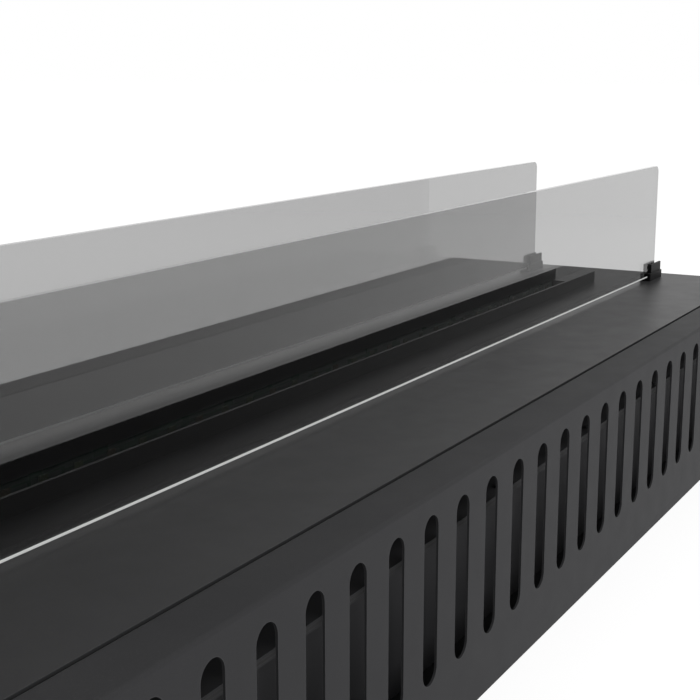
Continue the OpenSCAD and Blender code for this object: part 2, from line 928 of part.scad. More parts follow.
module water_inlet() {
  nut_x = -inner_x;
  neck_end = -half_l + neck_l;
  color("#e4e4e0") difference() {
    union() {
      inlet_rod(-half_l - collar_l, collar_l, collar_r);
      inlet_rod(-half_l, neck_l, neck_r);
      translate([nut_x, inlet_y, inlet_z]) rotate([0, 90, 0])
        cylinder(r = inlet_nut_r, h = inlet_nut_t, $fn = 6);
    }
    inlet_rod(-half_l - collar_l - overrun, socket_l + overrun, socket_r);
    inlet_rod(-half_l - collar_l, neck_end + half_l + collar_l + overrun, neck_bore_r);
  }
}

module valve_body() {
  valve_x = -half_l + neck_l;
  spout_end = -tank_half_l + valve_spout_tail;
  color("#d8d8d8") difference() {
    union() {
      inlet_rod(valve_x, valve_l, valve_r);
      inlet_rod(valve_x + valve_l, spout_end - valve_x - valve_l, valve_spout_r);
      translate([valve_x + valve_l / 2, inlet_y, inlet_z])
        cylinder(r = coil_pin_r, h = valve_r + coil_seat + coil_h + coil_pin_h);
    }
    inlet_rod(valve_x - overrun, spout_end - valve_x + 2 * overrun, neck_bore_r);
  }
}

module valve_coil() {
  coil_x = -half_l + neck_l + valve_l / 2;
  coil_z = inlet_z + valve_r + pass_gap;
  color("#202428") difference() {
    block([coil_x - coil_w / 2, inlet_y - coil_w / 2, coil_z],
          [coil_x + coil_w / 2, inlet_y + coil_w / 2, coil_z + coil_h]);
    translate([coil_x, inlet_y, coil_z - overrun])
      cylinder(r = coil_pin_r + shaft_gap, h = coil_h + 2 * overrun);
  }
}

// Foot on the tray, upright, and a cradle bored to the valve
module valve_bracket() {
  valve_mid = -half_l + neck_l + valve_l / 2;
  low_x = valve_mid - valve_foot_l / 2;
  color("#8a8d90") difference() {
    union() {
      block([low_x, inlet_y - valve_foot_w / 2, tray_sheet],
            [low_x + valve_foot_l, inlet_y + valve_foot_w / 2, tray_sheet + valve_bracket_t]);
      block([low_x, inlet_y - valve_foot_w / 2, tray_sheet],
            [low_x + valve_bracket_t, inlet_y + valve_foot_w / 2, inlet_z]);
    }
    inlet_rod(low_x - overrun, valve_bracket_t + 2 * overrun, valve_r + shaft_gap);
  }
}

module drain_rod(x, length, r) {
  translate([x, drain_y, drain_z]) rotate([0, 90, 0]) cylinder(r = r, h = length);
}

module drain_pipe() {
  pipe_x = -half_l - drain_out;
  pipe_l = -tank_half_l + drain_tail - pipe_x;
  color("#d0d0cc") difference() {
    union() {
      drain_rod(pipe_x, pipe_l, drain_r);
      drain_rod(-inner_x, drain_collar_t, drain_collar_r);
      drain_rod(-tank_half_l - drain_collar_t, drain_collar_t, drain_collar_r);
    }
    drain_rod(pipe_x - overrun, pipe_l + 2 * overrun, drain_r - drain_wall);
  }
}

module drain_cap() {
  cap_x = -half_l - cap_end - drain_out;
  color("#141416") difference() {
    drain_rod(cap_x, cap_l, cap_r);
    drain_rod(cap_x + cap_end, cap_l, drain_r + shaft_gap);
  }
}

// A block about a place on the right end, from one depth to another
module end_block(y, z, w, h, x_low, x_high) {
  block([x_low, y - w / 2, z - h / 2], [x_high, y + w / 2, z + h / 2]);
}

module mains_inlet() {
  face = half_l + plug_flange_t;
  color("#18181a") difference() {
    union() {
      translate([half_l, plug_y, plug_z]) rotate([90, 0, 90])
        linear_extrude(plug_flange_t) rounded_outline(plug_flange_w, plug_flange_h, plug_flange_r);
      end_block(plug_y, plug_z, plug_body_w, plug_body_h, half_l - plug_body_l, half_l);
    }
    translate([face - plug_hole_l, plug_y, plug_z]) rotate([90, 0, 90])
      linear_extrude(plug_hole_l + overrun) polygon([
        [-plug_hole_w / 2, -plug_hole_h / 2],
        [plug_hole_w / 2, -plug_hole_h / 2],
        [plug_hole_w / 2, plug_hole_h / 2 - plug_chamfer],
        [plug_hole_w / 2 - plug_chamfer, plug_hole_h / 2],
        [-plug_hole_w / 2 + plug_chamfer, plug_hole_h / 2],
        [-plug_hole_w / 2, plug_hole_h / 2 - plug_chamfer]
      ]);
    for (i = [-1 : 1])
      end_block(plug_y + i * pin_pitch, plug_z + pin_rise(i), pin_w, pin_h,
                half_l - plug_body_l - overrun, face);
    for (side = [-1, 1])
      translate([half_l - overrun, plug_y + side * plug_screw_spread / 2, plug_z])
        rotate([0, 90, 0]) cylinder(r = plug_screw_r, h = plug_flange_t + 2 * overrun);
  }
}

// Height of a pin above the socket's middle: the middle one sits higher
function pin_rise(i) = i == 0 ? pin_drop : -pin_drop;

module inlet_pins() {
  floor_x = half_l + plug_flange_t - plug_hole_l;
  color("#c8c8c0")
    for (i = [-1 : 1])
      end_block(plug_y + i * pin_pitch, plug_z + pin_rise(i), pin_w, pin_h,
                half_l - plug_body_l - pin_tail, floor_x + pin_l);
}

module switch_frame() {
  face = half_l + switch_flange_t;
  color("#18181a") difference() {
    union() {
      end_block(switch_y, plug_z, switch_w, switch_h, half_l, face);
      end_block(switch_y, plug_z, switch_body_w, switch_body_h, half_l - switch_body_l, half_l);
    }
    end_block(switch_y, plug_z, switch_hole_w, switch_hole_h, face - switch_hole_l, face + overrun);
    translate([half_l - rocker_sink, switch_y - switch_body_w, plug_z]) rotate([-90, 0, 0])
      cylinder(r = rocker_pin_r + shaft_gap, h = 2 * switch_body_w);
  }
}

// Rocker about its own pin, turned to its off position
module switch_rocker() {
  half = switch_hole_w / 2 - pass_gap;
  color("#202022") translate([half_l - rocker_sink, switch_y, plug_z]) rotate([0, rocker_tilt, 0]) {
    rotate([90, 0, 0]) linear_extrude(2 * half, center = true) {
      polygon([
        [rocker_root, -rocker_tip],
        [rocker_rise + rocker_root, -rocker_tip],
        [rocker_valley + rocker_root, 0],
        [rocker_rise + rocker_root, rocker_tip],
        [rocker_root, rocker_tip]
      ]);
      circle(rocker_hub_r);
    }
    rotate([90, 0, 0]) cylinder(r = rocker_pin_r, h = 2 * (half + rocker_pin_l), center = true);
  }
}

module power_supply() {
  low = [supply_x, supply_y, tray_sheet];
  high = low + [supply_w, supply_l, supply_h];
  color("#a8abae") difference() {
    block(low, high);
    block(low + [supply_wall, -overrun, supply_wall],
          [high[0] - supply_wall, low[1] + terminal_w, high[2] + overrun]);
    for (i = [0 : supply_vents - 1])
      translate([low[0] + supply_w / 2 - supply_vent_l / 2,
                 low[1] + supply_l / 2 + (i - (supply_vents - 1) / 2) * supply_vent_pitch,
                 high[2] - supply_wall])
        cube([supply_vent_l, supply_vent_w, supply_wall + overrun]);
  }
}

module supply_terminals() {
  low = [supply_x + (supply_w - terminal_l) / 2, supply_y, tray_sheet + supply_wall];
  slot_w = terminal_l / terminal_slots - terminal_wall;
  color("#1a1a1a") difference() {
    block(low, low + [terminal_l, terminal_w, terminal_h]);
    for (i = [0 : terminal_slots - 1])
      translate(low + [i * terminal_l / terminal_slots + terminal_wall / 2, -overrun, terminal_h / 2])
        cube([slot_w, terminal_w / 2 + overrun, terminal_h]);
  }
}

module standoff_places() {
  for (x = [standoff_inset, board_w - standoff_inset], y = [standoff_inset, board_l - standoff_inset])
    translate([board_x + x, board_y + y, 0]) children();
}

module control_board() {
  color("#1f5a3a") difference() {
    translate([board_x, board_y, board_z]) cube([board_w, board_l, board_t]);
    standoff_places() translate([0, 0, board_z - overrun])
      cylinder(r = cover_screw_r + screw_gap, h = board_t + 2 * overrun);
  }
}

module board_place(shares) {
  translate([board_x + shares[0] * board_w, board_y + shares[1] * board_l, board_z + board_t]) children();
}

// Relays, a transformer, a connector row and two capacitors, in shares of the board
module board_parts() {
  relay = [12, 19, 16];
  transformer = [26, 22, 20];
  connector = [8, 46, 10];
  capacitor_r = 5;
  capacitor_h = 18;
  relay_width_shares = [0.2, 0.36, 0.52];
  relay_length_share = 0.62;
  transformer_shares = [0.12, 0.16];
  connector_shares = [0.84, 0.2];
  capacitor_width_share = 0.68;
  capacitor_length_shares = [0.24, 0.4];
  color("#2a3038") {
    for (share = relay_width_shares) board_place([share, relay_length_share]) cube(relay);
    board_place(transformer_shares) cube(transformer);
    board_place(connector_shares) cube(connector);
    for (share = capacitor_length_shares)
      board_place([capacitor_width_share, share]) cylinder(r = capacitor_r, h = capacitor_h);
  }
}

module board_standoffs() {
  color("#c8b060") standoff_places() {
    translate([0, 0, tray_sheet]) cylinder(r = standoff_r, h = standoff_h);
    translate([0, 0, tray_sheet]) cylinder(r = cover_screw_r, h = standoff_h + board_t + cover_head_h);
    translate([0, 0, board_z + board_t]) cylinder(r = cover_head_r, h = cover_head_h);
  }
}

front_panel();
rear_panel();
left_end_panel();
right_end_panel();
base_tray();
corner_brackets();
plate_rail_front();
plate_rail_rear();
top_plate();
front_lip();
rear_lip();
clip_front_left();
clip_front_right();
clip_rear_left();
clip_rear_right();
clip_screws();
glass_front();
glass_rear();
water_tank();
tank_pads();
tank_seal();
tank_cover();
cover_screws();
mist_duct();
led_bar_front();
led_bar_rear();
led_strip_front();
led_strip_rear();
leds_amber();
leds_green();
transducer_rail();
transducer_cups();
piezo_discs();
float_stem();
float();
fan_frame_1();
fan_frame_2();
fan_frame_3();
fan_frame_4();
fan_rotor_1();
fan_rotor_2();
fan_rotor_3();
fan_rotor_4();
fan_screws();
water_inlet();
valve_body();
valve_coil();
valve_bracket();
drain_pipe();
drain_cap();
mains_inlet();
inlet_pins();
switch_frame();
switch_rocker();
power_supply();
supply_terminals();
control_board();
board_parts();
board_standoffs();
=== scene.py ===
"""Looks of the water vapour fireplace insert: finishes, glass panes, studio and camera."""

import json
import math

import bmesh
import bpy
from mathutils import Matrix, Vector


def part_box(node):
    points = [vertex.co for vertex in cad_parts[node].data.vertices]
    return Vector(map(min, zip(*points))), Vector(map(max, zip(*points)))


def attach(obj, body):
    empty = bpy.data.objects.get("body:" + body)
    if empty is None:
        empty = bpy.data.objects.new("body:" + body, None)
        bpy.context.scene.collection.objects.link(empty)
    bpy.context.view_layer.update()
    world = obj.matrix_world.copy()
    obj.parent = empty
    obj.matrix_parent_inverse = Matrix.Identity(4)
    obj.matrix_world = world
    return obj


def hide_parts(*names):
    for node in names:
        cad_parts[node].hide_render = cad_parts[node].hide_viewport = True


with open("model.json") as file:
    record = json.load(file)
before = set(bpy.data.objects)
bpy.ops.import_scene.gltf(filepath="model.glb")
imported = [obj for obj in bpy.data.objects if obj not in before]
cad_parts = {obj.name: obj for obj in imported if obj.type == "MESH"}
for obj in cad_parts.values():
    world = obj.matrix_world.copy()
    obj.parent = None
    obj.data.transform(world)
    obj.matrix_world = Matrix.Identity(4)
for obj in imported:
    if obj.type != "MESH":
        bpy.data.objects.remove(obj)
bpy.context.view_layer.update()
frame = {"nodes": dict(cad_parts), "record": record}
nodes = frame["nodes"]

MM = 0.001

# The range of a mask, from none to all
SHARE = (0.0, 1.0)


# Node trees

# A mix node lists its numbers and vectors before its colours
FIRST_COLOUR = 6
SECOND_COLOUR = 7
MIXED_COLOUR = 2

NOISE_MIDDLE = 0.5
NUMBER = "NodeSocketFloat"
COLOUR = "NodeSocketColor"


def link(tree, source, target):
    tree.links.new(source, target)


def feed(tree, socket, value):
    """Links a socket to the output of another node, or gives it a plain value."""
    if isinstance(value, bpy.types.NodeSocket):
        link(tree, value, socket)
    else:
        socket.default_value = value


def add_node(tree, kind, **settings):
    node = tree.nodes.new(kind)
    for name, value in settings.items():
        setattr(node, name, value)
    return node


def object_place(tree):
    return add_node(tree, "ShaderNodeTexCoord").outputs["Object"]


def stretch(tree, place, scale):
    node = add_node(tree, "ShaderNodeMapping")
    feed(tree, node.inputs["Vector"], place)
    feed(tree, node.inputs["Scale"], scale)
    return node.outputs["Vector"]


def noise(tree, place, scale, detail=2.0, roughness=0.5):
    node = add_node(tree, "ShaderNodeTexNoise")
    feed(tree, node.inputs["Vector"], place)
    feed(tree, node.inputs["Scale"], scale)
    feed(tree, node.inputs["Detail"], detail)
    feed(tree, node.inputs["Roughness"], roughness)
    return node.outputs["Fac"]


def cells(tree, place, scale, randomness=1.0, distance="EUCLIDEAN"):
    node = add_node(tree, "ShaderNodeTexVoronoi", distance=distance)
    feed(tree, node.inputs["Vector"], place)
    feed(tree, node.inputs["Scale"], scale)
    feed(tree, node.inputs["Randomness"], randomness)
    return node.outputs


def calculate(tree, operation, *values):
    node = add_node(tree, "ShaderNodeMath", operation=operation)
    for socket, value in zip(node.inputs, values):
        feed(tree, socket, value)
    return node.outputs["Value"]


def remap(tree, value, from_range, to_range):
    """Moves a value from one range to another, and holds it at the ends."""
    node = add_node(tree, "ShaderNodeMapRange")
    feed(tree, node.inputs["Value"], value)
    for name, limit in zip(("From Min", "From Max", "To Min", "To Max"), from_range + to_range):
        feed(tree, node.inputs[name], limit)
    return node.outputs["Result"]


def sway(tree, pattern, amount, middle):
    """The pattern of a noise, swinging around another middle by the amount given."""
    centred = calculate(tree, "SUBTRACT", pattern, NOISE_MIDDLE)
    return calculate(tree, "MULTIPLY_ADD", centred, amount, middle)


def blend_colour(tree, share, first, second, blend_type="MIX"):
    node = add_node(tree, "ShaderNodeMix", data_type="RGBA", blend_type=blend_type)
    feed(tree, node.inputs["Factor"], share)
    feed(tree, node.inputs[FIRST_COLOUR], first)
    feed(tree, node.inputs[SECOND_COLOUR], second)
    return node.outputs[MIXED_COLOUR]


def brighten(tree, colour, factor):
    """Multiplies all three channels of a colour by one number."""
    grey = add_node(tree, "ShaderNodeCombineColor")
    for channel in grey.inputs:
        link(tree, factor, channel)
    return blend_colour(tree, 1.0, colour, grey.outputs["Color"], "MULTIPLY")


def start_group(name, inputs, outputs):
    """A shader node group, from the values of its inputs and the kinds of its outputs."""
    group = bpy.data.node_groups.new(name, "ShaderNodeTree")
    for title, value in inputs.items():
        kind = COLOUR if isinstance(value, tuple) else NUMBER
        socket = group.interface.new_socket(title, in_out="INPUT", socket_type=kind)
        socket.default_value = value
    for title, kind in outputs.items():
        group.interface.new_socket(title, in_out="OUTPUT", socket_type=kind)
    given = add_node(group, "NodeGroupInput").outputs
    out = add_node(group, "NodeGroupOutput").inputs
    return group, given, out


def use_group(tree, group, **values):
    """Places a group in a material; an underscore in a name stands for a space."""
    node = add_node(tree, "ShaderNodeGroup", node_tree=group)
    for name, value in values.items():
        feed(tree, node.inputs[name.replace("_", " ")], value)
    return node.outputs


# Shared effects

# What a group gives: a grained surface also has a height for the bump
LAYER = {"Colour": COLOUR, "Roughness": NUMBER}
GRAINED = {"Colour": COLOUR, "Roughness": NUMBER, "Height": NUMBER}

DARK_GREY = (0.05, 0.05, 0.05, 1)
MID_GREY = (0.2, 0.2, 0.2, 1)
STEEL_GREY = (0.58, 0.59, 0.6, 1)
DUST_GREY = (0.32, 0.31, 0.29, 1)
LACQUER_GREEN = (0.012, 0.03, 0.022, 1)
TRACK_GREEN = (0.03, 0.065, 0.045, 1)


def coat_grain_group():
    """Fine orange peel of a baked coat, with slow changes of tone and gloss."""
    group, given, out = start_group(
        "Coat grain",
        {"Colour": DARK_GREY, "Roughness": 0.4, "Grain Scale": 1800.0, "Mottle": 0.1},
        GRAINED)
    place = object_place(group)
    grain = noise(group, place, given["Grain Scale"], detail=3.0, roughness=0.6)
    cloud = noise(group, place, scale=9.0, detail=4.0)
    patch = noise(group, place, scale=60.0, detail=3.0)
    speck = remap(group, grain, (0.35, 0.7), (0.94, 1.06))
    tone = sway(group, cloud, given["Mottle"], middle=1.0)
    bright = calculate(group, "MULTIPLY", tone, speck)
    link(group, brighten(group, given["Colour"], bright), out["Colour"])
    link(group, sway(group, patch, given["Mottle"], given["Roughness"]), out["Roughness"])
    link(group, grain, out["Height"])
    return group


def edge_wear_group():
    """Outer edges in the colour and gloss that rubbing gives them, broken up by noise."""
    group, given, out = start_group(
        "Edge wear",
        {"Colour": DARK_GREY, "Worn Colour": MID_GREY, "Roughness": 0.4, "Worn Roughness": 0.3,
         "Radius": 0.8 * MM, "Amount": 0.5},
        LAYER)
    rounded = add_node(group, "ShaderNodeBevel", samples=6)
    link(group, given["Radius"], rounded.inputs["Radius"])
    flat = add_node(group, "ShaderNodeNewGeometry")
    agreement = add_node(group, "ShaderNodeVectorMath", operation="DOT_PRODUCT")
    link(group, rounded.outputs["Normal"], agreement.inputs[0])
    link(group, flat.outputs["Normal"], agreement.inputs[1])
    bend = remap(group, agreement.outputs["Value"], (0.99, 0.8), SHARE)
    cloud = noise(group, object_place(group), scale=240.0, detail=4.0)
    rubbed = remap(group, cloud, (0.3, 0.65), (0.55, 1.0))
    mask = calculate(group, "MULTIPLY", calculate(group, "MULTIPLY", bend, rubbed), given["Amount"])
    link(group, blend_colour(group, mask, given["Colour"], given["Worn Colour"]), out["Colour"])
    roughness = remap(group, mask, SHARE, (given["Roughness"], given["Worn Roughness"]))
    link(group, roughness, out["Roughness"])
    return group


def settled_dust_group():
    """Thin dust on faces that look up, in soft patches."""
    group, given, out = start_group(
        "Settled dust",
        {"Colour": DARK_GREY, "Dust Colour": DUST_GREY, "Roughness": 0.4, "Dust Roughness": 0.9,
         "Amount": 0.1},
        LAYER)
    parts = add_node(group, "ShaderNodeSeparateXYZ")
    link(group, add_node(group, "ShaderNodeNewGeometry").outputs["Normal"], parts.inputs[0])
    up = remap(group, parts.outputs["Z"], (0.5, 1.0), SHARE)
    place = object_place(group)
    cloud = noise(group, place, scale=14.0, detail=5.0, roughness=0.6)
    drift = remap(group, cloud, (0.35, 0.75), (0.2, 1.0))
    fleck = remap(group, noise(group, place, scale=900.0), (0.55, 0.75), (0.3, 1.0))
    patches = calculate(group, "MULTIPLY", up, calculate(group, "MULTIPLY", drift, fleck))
    mask = calculate(group, "MULTIPLY", patches, given["Amount"])
    link(group, blend_colour(group, mask, given["Colour"], given["Dust Colour"]), out["Colour"])
    roughness = remap(group, mask, SHARE, (given["Roughness"], given["Dust Roughness"]))
    link(group, roughness, out["Roughness"])
    return group


def brushed_grain_group():
    """Long fine scratches along X, as rolled and brushed sheet has."""
    group, given, out = start_group(
        "Brushed grain",
        {"Colour": STEEL_GREY, "Roughness": 0.3, "Line Scale": 1600.0, "Strength": 0.2},
        GRAINED)
    place = object_place(group)
    lines = noise(group, stretch(group, place, scale=(0.02, 1.0, 1.0)), given["Line Scale"])
    cloud = noise(group, place, scale=12.0, detail=4.0)
    lined = sway(group, lines, given["Strength"], middle=1.0)
    bright = sway(group, cloud, amount=0.1, middle=lined)
    link(group, brighten(group, given["Colour"], bright), out["Colour"])
    link(group, sway(group, lines, given["Strength"], given["Roughness"]), out["Roughness"])
    link(group, lines, out["Height"])
    return group


def zinc_spangle_group():
    """Patches of slightly different tone, as zinc plating has."""
    group, given, out = start_group(
        "Zinc spangle",
        {"Colour": STEEL_GREY, "Roughness": 0.35, "Patch Scale": 220.0},
        GRAINED)
    spangle = cells(group, object_place(group), given["Patch Scale"])
    tone = add_node(group, "ShaderNodeSeparateColor")
    link(group, spangle["Color"], tone.inputs["Color"])
    bright = remap(group, tone.outputs["Red"], SHARE, (0.84, 1.08))
    link(group, brighten(group, given["Colour"], bright), out["Colour"])
    roughness = calculate(group, "MULTIPLY_ADD", tone.outputs["Green"], 0.12, given["Roughness"])
    link(group, roughness, out["Roughness"])
    link(group, spangle["Distance"], out["Height"])
    return group


def moulded_grain_group():
    """Spark-eroded grain of a moulded plastic part."""
    group, given, out = start_group(
        "Moulded grain",
        {"Colour": DARK_GREY, "Roughness": 0.5, "Grain Scale": 2600.0},
        GRAINED)
    place = object_place(group)
    grain = noise(group, place, given["Grain Scale"], detail=1.0)
    cloud = noise(group, place, scale=40.0, detail=3.0)
    bright = remap(group, cloud, (0.3, 0.7), (0.93, 1.07))
    link(group, brighten(group, given["Colour"], bright), out["Colour"])
    link(group, sway(group, grain, amount=0.2, middle=given["Roughness"]), out["Roughness"])
    link(group, grain, out["Height"])
    return group


def circuit_tracks_group():
    """Copper tracks and pads that show as paler lines under green lacquer."""
    group, given, out = start_group(
        "Circuit tracks",
        {"Lacquer": LACQUER_GREEN, "Track Colour": TRACK_GREEN, "Track Scale": 120.0},
        GRAINED)
    place = object_place(group)
    grid = cells(group, stretch(group, place, scale=(0.35, 1.0, 1.6)), given["Track Scale"],
                 randomness=0.55, distance="CHEBYCHEV")
    track = remap(group, grid["Distance"], (0.42, 0.47), SHARE)
    weave = remap(group, noise(group, place, scale=2200.0, detail=1.0), (0.4, 0.6), (0.9, 1.1))
    mixed = blend_colour(group, track, given["Lacquer"], given["Track Colour"])
    link(group, brighten(group, mixed, weave), out["Colour"])
    link(group, remap(group, track, SHARE, (0.34, 0.26)), out["Roughness"])
    link(group, track, out["Height"])
    return group


COAT_GRAIN = coat_grain_group()
EDGE_WEAR = edge_wear_group()
SETTLED_DUST = settled_dust_group()
BRUSHED_GRAIN = brushed_grain_group()
ZINC_SPANGLE = zinc_spangle_group()
MOULDED_GRAIN = moulded_grain_group()
CIRCUIT_TRACKS = circuit_tracks_group()


# Finishes

WORN_COAT = (0.12, 0.12, 0.125, 1)
METAL_DUST = 0.05
# A thin pane moves what is seen through it by next to nothing
GLASS_IOR = 1.01
# Pale tones of the band along a pane's foot, painted there as its bright highlight line
HIGHLIGHT_DIM = (0.6, 0.61, 0.6, 1)
HIGHLIGHT_BRIGHT = (0.7, 0.71, 0.7, 1)


def start_material(name):
    material = bpy.data.materials.new(name)
    material.use_nodes = True
    return material, material.node_tree, material.node_tree.nodes["Principled BSDF"]


def paint(tree, shader, layer):
    link(tree, layer["Colour"], shader.inputs["Base Color"])
    link(tree, layer["Roughness"], shader.inputs["Roughness"])


def bump(tree, shader, height, depth, strength):
    node = add_node(tree, "ShaderNodeBump")
    feed(tree, node.inputs["Height"], height)
    feed(tree, node.inputs["Distance"], depth)
    feed(tree, node.inputs["Strength"], strength)
    link(tree, node.outputs["Normal"], shader.inputs["Normal"])


def baked_coat(name, colour, roughness, wear, dust, specular, worn_colour=WORN_COAT):
    material, tree, shader = start_material(name)
    grain = use_group(tree, COAT_GRAIN, Colour=colour, Roughness=roughness)
    worn = use_group(tree, EDGE_WEAR, Colour=grain["Colour"], Roughness=grain["Roughness"],
                     Worn_Colour=worn_colour, Worn_Roughness=roughness, Amount=wear)
    dusty = use_group(tree, SETTLED_DUST, Colour=worn["Colour"], Roughness=worn["Roughness"],
                      Amount=dust)
    paint(tree, shader, dusty)
    feed(tree, shader.inputs["Specular IOR Level"], specular)
    bump(tree, shader, grain["Height"], depth=0.004 * MM, strength=0.1)
    return material


def bright_metal(name, group, colour, roughness, depth, **values):
    material, tree, shader = start_material(name)
    grain = use_group(tree, group, Colour=colour, Roughness=roughness, **values)
    dusty = use_group(tree, SETTLED_DUST, Colour=grain["Colour"], Roughness=grain["Roughness"],
                      Amount=METAL_DUST)
    paint(tree, shader, dusty)
    feed(tree, shader.inputs["Metallic"], 1.0)
    bump(tree, shader, grain["Height"], depth, strength=0.2)
    return material


def moulded(name, colour, roughness, worn_colour=MID_GREY):
    material, tree, shader = start_material(name)
    grain = use_group(tree, MOULDED_GRAIN, Colour=colour, Roughness=roughness)
    worn = use_group(tree, EDGE_WEAR, Colour=grain["Colour"], Roughness=grain["Roughness"],
                     Worn_Colour=worn_colour, Worn_Roughness=roughness, Amount=0.1, Radius=0.4 * MM)
    paint(tree, shader, worn)
    bump(tree, shader, grain["Height"], depth=0.02 * MM, strength=0.3)
    return material


def circuit_board(name):
    material, tree, shader = start_material(name)
    tracks = use_group(tree, CIRCUIT_TRACKS)
    paint(tree, shader, tracks)
    bump(tree, shader, tracks["Height"], depth=0.04 * MM, strength=0.5)
    return material


def lamp_resin(name, colour, core):
    """Unlit lamp: cloudy resin over a phosphor that is darker in spots."""
    material, tree, shader = start_material(name)
    grain = noise(tree, object_place(tree), scale=900.0, detail=3.0)
    cloud = remap(tree, grain, (0.35, 0.65), SHARE)
    link(tree, blend_colour(tree, cloud, colour, core), shader.inputs["Base Color"])
    link(tree, remap(tree, cloud, SHARE, (0.18, 0.32)), shader.inputs["Roughness"])
    feed(tree, shader.inputs["Coat Weight"], 0.4)
    return material


def polished_glass(name, tint, deep_tint, gloss):
    """Glass of two close tints; the gloss is a thin clear layer on its faces."""
    material, tree, shader = start_material(name)
    cloud = noise(tree, object_place(tree), scale=6.0, detail=5.0)
    link(tree, blend_colour(tree, cloud, tint, deep_tint), shader.inputs["Base Color"])
    feed(tree, shader.inputs["Roughness"], 0.0)
    feed(tree, shader.inputs["IOR"], GLASS_IOR)
    feed(tree, shader.inputs["Transmission Weight"], 1.0)
    feed(tree, shader.inputs["Coat Weight"], gloss)
    feed(tree, shader.inputs["Coat Roughness"], 0.01)
    return material


def foot_highlight(name):
    """Pale matt band along the foot of a pane's front, painted there as its bright highlight line."""
    material, tree, shader = start_material(name)
    grain = noise(tree, object_place(tree), scale=900.0, detail=3.0)
    link(tree, blend_colour(tree, grain, HIGHLIGHT_DIM, HIGHLIGHT_BRIGHT), shader.inputs["Base Color"])
    link(tree, remap(tree, grain, (0.3, 0.7), (0.45, 0.6)), shader.inputs["Roughness"])
    return material


FINISHES = {
    "casing_black": baked_coat("Casing powder coat", (0.029, 0.029, 0.0305, 1), roughness=0.5,
                               wear=0.35, dust=0.05, specular=0.05),
    "plate_black": baked_coat("Plate heat-proof coat", (0.023, 0.023, 0.024, 1), roughness=0.38,
                              wear=0.3, dust=0.03, specular=0.11),
    "clip_black": baked_coat("Clip coat", (0.005, 0.005, 0.0053, 1), roughness=0.4,
                             wear=0.4, dust=0.03, specular=0.03, worn_colour=(0.1, 0.1, 0.1, 1)),
    "stainless": bright_metal("Brushed stainless", BRUSHED_GRAIN, (0.56, 0.57, 0.58, 1),
                              roughness=0.3, depth=0.01 * MM),
    "zinc_steel": bright_metal("Zinc plating", ZINC_SPANGLE, (0.56, 0.57, 0.59, 1),
                               roughness=0.34, depth=0.01 * MM),
    "aluminium": bright_metal("Drawn aluminium", BRUSHED_GRAIN, (0.66, 0.67, 0.68, 1),
                              roughness=0.36, depth=0.02 * MM, Line_Scale=900.0),
    "brass": bright_metal("Brass", BRUSHED_GRAIN, (0.68, 0.5, 0.22, 1),
                          roughness=0.28, depth=0.01 * MM),
    "black_rubber": moulded("Black rubber", (0.022, 0.022, 0.022, 1), roughness=0.8),
    "black_plastic": moulded("Black plastic", (0.02, 0.02, 0.021, 1), roughness=0.45),
    "grey_plastic": moulded("Grey plastic", (0.1, 0.105, 0.11, 1), roughness=0.5),
    "white_plastic": moulded("White plastic", (0.72, 0.71, 0.67, 1), roughness=0.42,
                             worn_colour=(0.8, 0.8, 0.78, 1)),
    "circuit_green": circuit_board("Circuit lacquer"),
    "lamp_amber": lamp_resin("Amber lamp", (0.09, 0.08, 0.05, 1), (0.055, 0.046, 0.028, 1)),
    "lamp_green": lamp_resin("Green lamp", (0.07, 0.09, 0.045, 1), (0.035, 0.055, 0.025, 1)),
    "clear_glass": polished_glass("Tinted glass", (0.45, 0.45, 0.45, 1), (0.44, 0.44, 0.44, 1),
                                  gloss=0.6),
}
# The tank, its cover and its screws are made dark here in place of their own finishes, which darkens
# what shows through the casing's slots
DARK_TANK_FINISH = baked_coat("Dark tank finish", (0.04, 0.04, 0.042, 1), roughness=0.55,
                       wear=0.3, dust=0.03, specular=0.1)
DARKENED_TANK_PARTS = ("water_tank", "tank_cover", "cover_screws")
# Pale band painted along the foot of each pane as its bright highlight line
FOOT_HIGHLIGHT = foot_highlight("Painted foot highlight")


def dress_frame():
    for part in frame["record"]["subparts"]:
        materials = nodes[part["node"]].data.materials
        # The tank's parts take the dark finish in place of the one their slot names
        darkened = part["node"] in DARKENED_TANK_PARTS
        materials.clear()
        materials.append(DARK_TANK_FINISH if darkened else FINISHES[part["material_slot"]])


# Glass panes

PANE_CORNER = 6 * MM
CORNER_STEPS = 12
PANE_ARRIS = 0.3 * MM
# Width of the band parted off along each face's outline; at the front foot it carries the painted
# highlight
HIGHLIGHT_BAND = 1.2 * MM
SMOOTH_BELOW = math.radians(12)
TOUCHING = 0.001 * MM

# Y part of a unit vector that points along the pane's thickness, and of one that faces the front
ACROSS = 0.9
TO_FRONT = -0.5


def deselect_all():
    bpy.ops.object.select_all(action="DESELECT")


def select_edges(piece, test):
    """In edit mode, selects the edges whose middle and direction pass the test."""
    mesh = bmesh.from_edit_mesh(piece.data)
    for edge in mesh.edges:
        start = edge.verts[0].co
        end = edge.verts[1].co
        edge.select_set(test((start + end) / 2, (end - start).normalized()))
    mesh.select_flush_mode()
    bmesh.update_edit_mesh(piece.data)


def select_faces(piece, test):
    """In edit mode, selects the faces whose normal passes the test."""
    mesh = bmesh.from_edit_mesh(piece.data)
    for face in mesh.faces:
        face.select_set(test(face.normal))
    mesh.select_flush_mode()
    bmesh.update_edit_mesh(piece.data)


def add_block(low, high):
    """A block that fills the box between two corners."""
    deselect_all()
    bpy.ops.mesh.primitive_cube_add(size=1, location=(low + high) / 2)
    block = bpy.context.object
    block.scale = high - low
    bpy.ops.object.transform_apply(location=False, rotation=False, scale=True)
    return block


